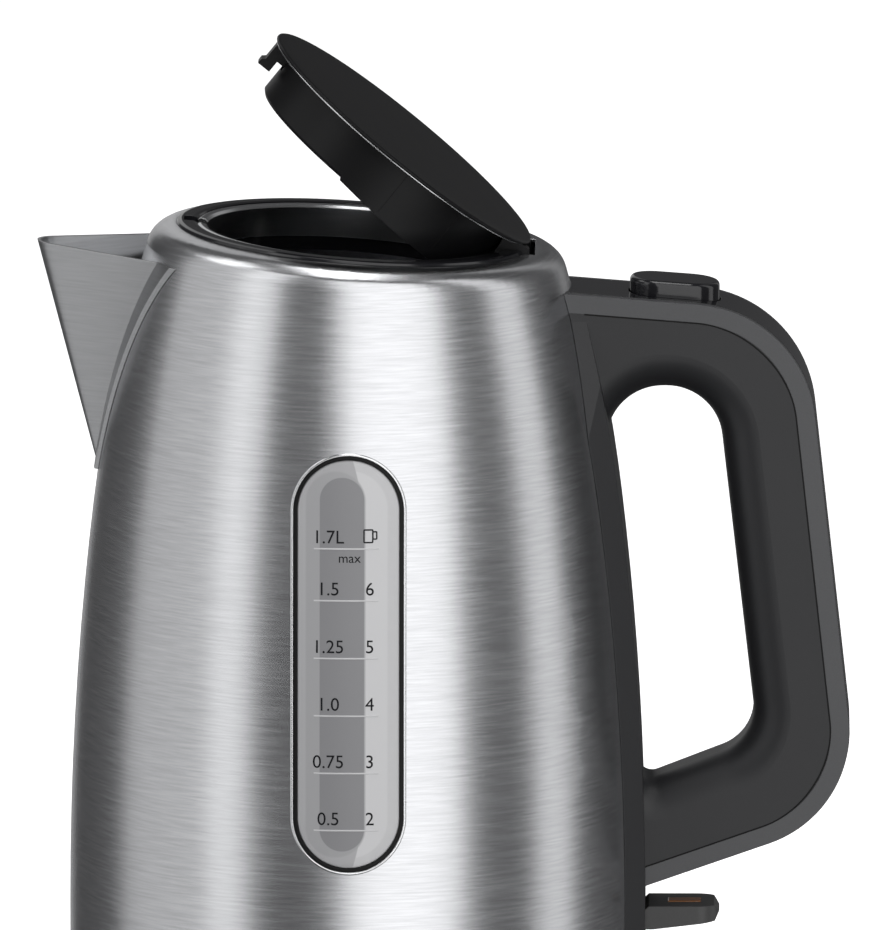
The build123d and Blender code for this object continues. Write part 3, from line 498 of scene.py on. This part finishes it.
# %% Level lines
MARK_HEIGHTS = [73.5, 88.8, 104.1, 119.4, 134.7, 148.4]
LENS_FRONT = -0.2 * MM
lines = bmesh.new()
for height in MARK_HEIGHTS:
    made = bmesh.ops.create_cube(lines, size=1.0)
    squeeze = Matrix.Diagonal((17.2 * MM, 0.16 * MM, 0.42 * MM, 1))
    seat = Matrix.Translation((-0.6 * MM, LENS_FRONT, height * MM))
    bmesh.ops.transform(lines, matrix=seat @ squeeze, verts=made["verts"])
bmesh.ops.bevel(
    lines, geom=lines.edges[:], offset=0.06 * MM, offset_type="OFFSET", segments=2, profile=0.5,
    affect="EDGES", material=-1, clamp_overlap=True,
)
cut_lines(lines, (1, 0, 0), [index * 1.2 * MM for index in range(-8, 8)])
bend_to_wall(lines)
level_lines = make_piece("level_lines", lines, "jug", line_white, ["level_marks"])

# %% Printed figures
FIGURE_HEIGHT = 3.45 * MM
CAP_SHARE = 0.70
figures = bmesh.new()


def print_text(words, middle_x, foot_z, cap_height):
    """Add flat printed words to the figures, centred on middle_x and standing on foot_z."""
    curve = bpy.data.curves.new("words", "FONT")
    curve.body = words
    curve.size = cap_height / CAP_SHARE
    curve.align_x = "CENTER"
    curve.resolution_u = 4
    holder = bpy.data.objects.new("words", curve)
    flat = bpy.data.meshes.new_from_object(holder)
    known = set(figures.verts)
    figures.from_mesh(flat)
    fresh = [vert for vert in figures.verts if vert not in known]
    stand = Matrix.Translation((middle_x, 0, foot_z)) @ Matrix.Rotation(math.pi / 2, 4, "X")
    bmesh.ops.transform(figures, matrix=stand, verts=fresh)
    bpy.data.objects.remove(holder)
    bpy.data.curves.remove(curve)
    bpy.data.meshes.remove(flat)


LITRES_X = -5.3 * MM
CUPS_X = 5.7 * MM
FIGURE_RISE = 1.45 * MM
litres = ["0.5", "0.75", "1.0", "1.25", "1.5", "1.7L"]
for height, words in zip(MARK_HEIGHTS, litres):
    print_text(words, LITRES_X, height * MM + FIGURE_RISE, FIGURE_HEIGHT)
for height, cups in zip(MARK_HEIGHTS, "23456"):
    print_text(cups, CUPS_X, height * MM + FIGURE_RISE, FIGURE_HEIGHT)
print_text("max", 0.3 * MM, MARK_HEIGHTS[-1] * MM - 3.6 * MM, 0.72 * FIGURE_HEIGHT)
print("figure faces", len(figures.faces))

# %% [markdown]
# A small outline of a cup heads the right-hand column. Each of its two loops is a rectangle that is
# inset once, after which the middle face is taken away.


# %% Cup outline over the right-hand column
def outline_box(middle_x, middle_z, width, height, line):
    """Add a rounded rectangular outline to the figures."""
    made = bmesh.ops.create_grid(figures, x_segments=1, y_segments=1, size=0.5)
    stand = Matrix.Translation((middle_x, 0, middle_z)) @ Matrix.Rotation(math.pi / 2, 4, "X")
    shrink = Matrix.Diagonal((width, height, 1, 1))
    bmesh.ops.transform(figures, matrix=stand @ shrink, verts=made["verts"])
    box_face = made["verts"][0].link_faces[0]
    rounded = bmesh.ops.bevel(
        figures, geom=box_face.verts[:], offset=line, offset_type="OFFSET", segments=3, profile=0.5,
        affect="VERTICES", material=-1,
    )
    middle_face = max(rounded["verts"][0].link_faces, key=lambda face: face.calc_area())
    bmesh.ops.inset_region(
        figures, faces=[middle_face], thickness=line, use_boundary=True, use_even_offset=True,
    )
    bmesh.ops.delete(figures, geom=[middle_face], context="FACES")


CUP_Z = MARK_HEIGHTS[-1] * MM + FIGURE_RISE + 1.9 * MM
LINE = 0.38 * MM
outline_box(5.3 * MM, CUP_Z, 2.7 * MM, 3.7 * MM, LINE)
outline_box(7.0 * MM, CUP_Z + 0.2 * MM, 1.4 * MM, 2.3 * MM, LINE)
cut_lines(figures, (1, 0, 0), [index * 1.0 * MM for index in range(-10, 10)])
bmesh.ops.translate(figures, verts=figures.verts, vec=(0, LENS_FRONT - 0.03 * MM, 0))
bend_to_wall(figures)
bmesh.ops.solidify(figures, geom=figures.faces[:], thickness=0.025 * MM)
gauge_figures = make_piece("gauge_figures", figures, "jug", print_ink, hard_edge=50)

# %% [markdown]
# ## Lid
#
# The lid's disc is turned: its half section is drawn once and spun round the lid's own axis. Its rim is
# a full round, which is what catches the thin bright line along the edge of the real one.

# %% Where the lid lies
LID_TILT = math.radians(39.0)
lid_origin = Vector((12.52, 0.0, 245.411)) * MM
lid_place = Matrix.Translation(lid_origin) @ Matrix.Rotation(LID_TILT, 4, "Y")


def turned(section, place, closed=False, steps=128):
    """Spin a half section of (radius, height) points in millimetres round an axis."""
    shape = bmesh.new()
    points = [shape.verts.new((radius * MM, 0, height * MM)) for radius, height in section]
    pairs = list(zip(points, points[1:])) + ([(points[-1], points[0])] if closed else [])
    edges = [shape.edges.new(pair) for pair in pairs]
    bmesh.ops.spin(
        shape, geom=points + edges, cent=(0, 0, 0), axis=(0, 0, 1), angle=math.tau, steps=steps,
        use_merge=True, use_duplicate=False,
    )
    bmesh.ops.transform(shape, matrix=place, verts=shape.verts)
    return shape


# %% Lid disc and the bright bead under its rim
DISC_R = 42.7
dome = [(DISC_R * step / 12, 3.2 - 0.78 * (step / 12) ** 2) for step in range(13)]
rim_round = [(43.1, 2.32), (43.4, 2.1), (43.5, 1.8), (43.42, 1.58), (43.2, 1.4), (42.7, 1.32)]
under = [(40.0, 1.3), (20.0, 1.3), (0.0, 1.3)]
lid_disc = make_piece("lid_disc", turned(dome + rim_round + under, lid_place), "lid", black_lid,
                      ["lid_plate"])
bead = [(42.75 + 0.28 * math.cos(turn * math.tau / 10), 1.25 + 0.28 * math.sin(turn * math.tau / 10))
        for turn in range(10)]
lid_bead = make_piece("lid_bead", turned(bead, lid_place, closed=True), "lid", steel_bright)

# %% [markdown]
# The can under the disc is moulded in three shells, so two fine seams run down its side. Each seam is a
# narrow flat strip set upright against the can at its own angle, standing proud by less than a hair.

# %% Seams in the can
CAN_R = 37.5 * MM
seams = bmesh.new()
for sideways in (3.5, 21.5):
    made = bmesh.ops.create_grid(seams, x_segments=1, y_segments=10, size=0.5)
    strip = Matrix.Diagonal((0.22 * MM, 13.4 * MM, 1, 1))
    stand = Matrix.Rotation(math.pi / 2, 4, "X")
    bmesh.ops.transform(seams, matrix=stand @ strip, verts=made["verts"])
    lean = math.asin(sideways * MM / CAN_R)
    seat = Matrix.Rotation(lean, 4, "Z") @ Matrix.Translation((0, -CAN_R - 0.03 * MM, -5.9 * MM))
    bmesh.ops.transform(seams, matrix=seat, verts=made["verts"])
bmesh.ops.solidify(seams, geom=seams.faces[:], thickness=0.06 * MM)
bmesh.ops.transform(seams, matrix=lid_place, verts=seams.verts)
lid_seams = make_piece("lid_seams", seams, "lid", seal_black)

# %% [markdown]
# ## Handle
#
# The loop is made of a dark soft grip held in a satin band. Where they meet there is a hair-thin dark
# gap. Its path is the loop's outline set in by the band's thickness, so it is drawn with operators:
# the outline's corners are rounded by bevelling its vertices, it is inset by the band, and inset once
# more by the width of the gap. Only that last ring is kept, and it lies a hair above the surface so
# that it isn't level with it. An inset on a lone face needs use_boundary, or it makes no ring at all.

# %% The dark gap between band and grip
OUTLINE = [(38.0, 208.7), (120.5, 202.3), (135.7, 66.4), (78.0, 46.0), (38.0, 31.9)]
OUTLINE_ROUNDING = {1: 34.0, 2: 32.0}
BAND_T = 5.0 * MM
GAP_W = 0.4 * MM
LOOP_HALF = 14.5 * MM
GAP_PROUD = 0.04 * MM
GAP_THICKNESS = 0.05 * MM
PAD_STANDS = 2.7 * MM


def corner_reach(index, radius):
    """How far along its sides a corner of the outline is cut back for a rounding radius."""
    here, before, after = (Vector(OUTLINE[(index + step) % len(OUTLINE)]) for step in (0, -1, 1))
    opening = (before - here).angle(after - here)
    return radius * MM / math.tan(opening / 2)


def loop_face(half_width):
    """The loop's rounded outline as one face, on one side of the handle."""
    shape = bmesh.new()
    corner_verts = [shape.verts.new((x * MM, half_width, z * MM)) for x, z in OUTLINE]
    shape.faces.new(corner_verts)
    for index, radius in OUTLINE_ROUNDING.items():
        bmesh.ops.bevel(
            shape, geom=[corner_verts[index]], offset=corner_reach(index, radius), offset_type="OFFSET",
            segments=24, profile=0.5, affect="VERTICES", material=-1,
        )
    return shape


gap = bmesh.new()
for side in (-1, 1):
    half = loop_face(side * (LOOP_HALF + GAP_PROUD))
    bmesh.ops.inset_region(
        half, faces=half.faces[:], thickness=BAND_T - GAP_W / 2, use_boundary=True, use_even_offset=True,
    )
    core = max(half.faces, key=lambda face: face.calc_area())
    bmesh.ops.delete(half, geom=[face for face in half.faces if face != core], context="FACES")
    bmesh.ops.inset_region(half, faces=[core], thickness=GAP_W, use_boundary=True, use_even_offset=True)
    bmesh.ops.delete(half, geom=[core], context="FACES")
    cut_lines(half, (1, 0, 0), [place * MM for place in range(56, 100, 3)])
    buried = [face for face in half.faces
              if face.calc_center_median().xy.length < wall_radius(face.calc_center_median().z) + PAD_STANDS]
    bmesh.ops.delete(half, geom=buried, context="FACES")
    side_mesh = bpy.data.meshes.new("half_gap")
    half.to_mesh(side_mesh)
    half.free()
    gap.from_mesh(side_mesh)
    bpy.data.meshes.remove(side_mesh)
bmesh.ops.solidify(gap, geom=gap.faces[:], thickness=GAP_THICKNESS)
grip_gap = make_piece("grip_gap", gap, "jug", seal_black)

# %% [markdown]
# ## Parts that keep their CAD shape
#
# Most parts inside the jug and the base are already the right shape. They keep their CAD meshes and
# only take a finish. The finish goes in the object's own material slot, so the mesh stays as it was.

# %% Dress the CAD nodes
cad_finishes = {
    steel_wall: ["body_shell"],
    steel_bright: ["neck_trim_ring", "handle_screws"],
    steel_spout_painted_shade: ["spout"],
    steel_plain: [
        "heating_plate", "base_screws", "bottom_screws", "lever_pin", "lid_hinge_pin", "rocker_pin",
        "button_spring", "lid_springs", "bimetal_discs", "filter_mesh", "switch_bracket",
    ],
    brass: ["base_contacts", "connector_contacts"],
    aluminium: ["heat_spreader"],
    element_metal: ["heating_element"],
    black_gloss: ["rim_collar", "handle_strip", "release_button"],
    black_lid: ["lid_cap", "latch_bar"],
    grip_grey: ["handle_grip"],
    band_grey: ["handle_band"],
    black_base: ["base_housing", "base_bottom_cover", "jug_bottom_housing", "cord_gland"],
    inner_plastic: [
        "base_connector", "jug_connector", "control_unit", "steam_switch", "release_rocker",
        "filter_frame", "switch_lever",
    ],
    rubber: ["base_feet"],
    silicone: ["plate_seal", "lid_seal", "steam_tube"],
    amber: ["switch_lamp"],
}
for material, node_names in cad_finishes.items():
    for node_name in node_names:
        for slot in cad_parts[node_name].material_slots:
            slot.link = "OBJECT"
            slot.material = material
dressed = {node_name for node_names in cad_finishes.values() for node_name in node_names}
print("dressed", len(dressed), "of", len(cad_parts), "replaced", set(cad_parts) - dressed)
